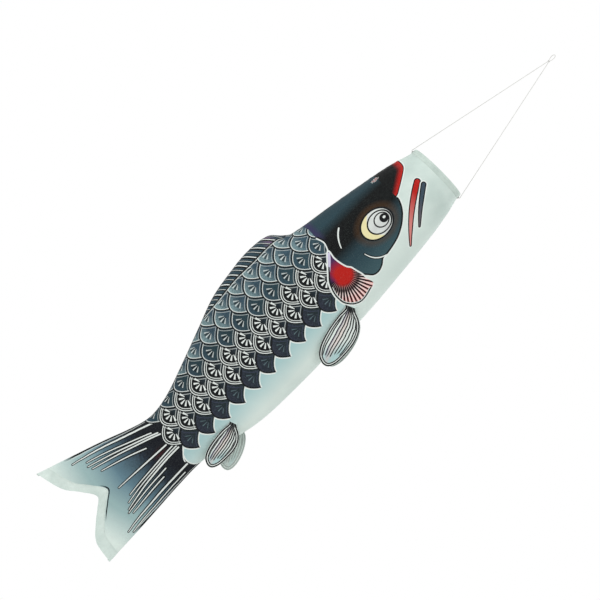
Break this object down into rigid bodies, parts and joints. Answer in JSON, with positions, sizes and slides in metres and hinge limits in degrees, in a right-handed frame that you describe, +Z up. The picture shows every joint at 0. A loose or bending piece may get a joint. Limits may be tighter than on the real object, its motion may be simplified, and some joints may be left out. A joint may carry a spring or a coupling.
{
  "type": "carp streamer",
  "caption": "Fish-shaped cloth windsock on a round mouth hoop, hung from a cord bridle, with loose sewn fins and a forked open tail.",
  "frame": {"origin": "inside the top of the hanging loop, where a hook bears", "axes": "+Z up along the fish from tail to mouth as it hangs in still air, +X from the back of the fish to its belly, +Y from its right side to its left side"},
  "size_m": [0.2856, 0.129, 1.3262],
  "materials": {
    "bridle_cord": "fine twisted polyester cord, slightly glossy",
    "hoop_rod": "smooth white plastic rod",
    "joining_tube": "dark plastic tube",
    "eyelet_metal": "blackened brass",
    "head_print_cloth": "thin polyester cloth with the dark head printed on it",
    "scale_print_cloth": "thin polyester cloth with rows of scales printed on it",
    "tail_print_cloth": "thin polyester cloth with tail rays printed on it",
    "seam_cloth": "two layers of thin polyester with a row of stitches",
    "fin_print_cloth": "thin polyester with black ribs printed on one side",
    "plain_cloth": "pale unprinted polyester, hemmed"
  },
  "bodies": {
    "bridle": {"hang_loop": "bridle_cord", "bridle_knot": "bridle_cord", "bridle_line_back": "bridle_cord", "bridle_line_belly": "bridle_cord", "tie_knot_back": "bridle_cord", "tie_knot_belly": "bridle_cord"},
    "head": {"mouth_hoop": "hoop_rod", "hoop_joiner": "joining_tube", "mouth_hem": "plain_cloth", "eyelet_back": "eyelet_metal", "eyelet_belly": "eyelet_metal", "right_panel_head": "head_print_cloth", "left_panel_head": "head_print_cloth", "back_seam_head": "seam_cloth", "belly_seam_head": "seam_cloth", "pectoral_root_right": "plain_cloth", "pectoral_root_left": "plain_cloth"},
    "middle": {"right_panel_middle": "scale_print_cloth", "left_panel_middle": "scale_print_cloth", "back_seam_middle": "seam_cloth", "belly_seam_middle": "seam_cloth", "pelvic_root_right": "plain_cloth", "pelvic_root_left": "plain_cloth"},
    "tail": {"right_panel_tail": "tail_print_cloth", "left_panel_tail": "tail_print_cloth", "back_seam_tail": "seam_cloth", "belly_seam_tail": "seam_cloth", "tail_hem_right": "plain_cloth", "tail_hem_left": "plain_cloth"},
    "pectoral_right": {"pectoral_fin_right": "fin_print_cloth"},
    "pectoral_left": {"pectoral_fin_left": "fin_print_cloth"},
    "pelvic_right": {"pelvic_fin_right": "fin_print_cloth"},
    "pelvic_left": {"pelvic_fin_left": "fin_print_cloth"}
  },
  "joints": [
    {"name": "bridle_swing", "type": "hinge", "parent": "bridle", "child": "head", "pos_m": [0, 0, -0.333], "axis": [1, 0, 0], "range_deg": [-75, 75]},
    {"name": "body_bend", "type": "hinge", "parent": "head", "child": "middle", "pos_m": [0, 0, -0.775], "axis": [1, 0, 0], "range_deg": [-25, 25]},
    {"name": "tail_wave", "type": "hinge", "parent": "middle", "child": "tail", "pos_m": [0, 0, -1.06], "axis": [1, 0, 0], "range_deg": [-35, 35]},
    {"name": "pectoral_flap_right", "type": "hinge", "parent": "head", "child": "pectoral_right", "pos_m": [0.064, -0.0421, -0.635], "axis": [-0.8755, -0.2845, -0.3907], "range_deg": [0, 75]},
    {"name": "pectoral_flap_left", "type": "hinge", "parent": "head", "child": "pectoral_left", "pos_m": [0.064, 0.0421, -0.635], "axis": [0.8474, -0.2753, 0.454], "range_deg": [0, 75]},
    {"name": "pelvic_flap_right", "type": "hinge", "parent": "middle", "child": "pelvic_right", "pos_m": [0.063, -0.0296, -0.958], "axis": [-0.9095, -0.2955, -0.2924], "range_deg": [0, 75]},
    {"name": "pelvic_flap_left", "type": "hinge", "parent": "middle", "child": "pelvic_left", "pos_m": [0.063, 0.0296, -0.958], "axis": [0.7494, -0.2435, 0.6157], "range_deg": [0, 75]}
  ]
}
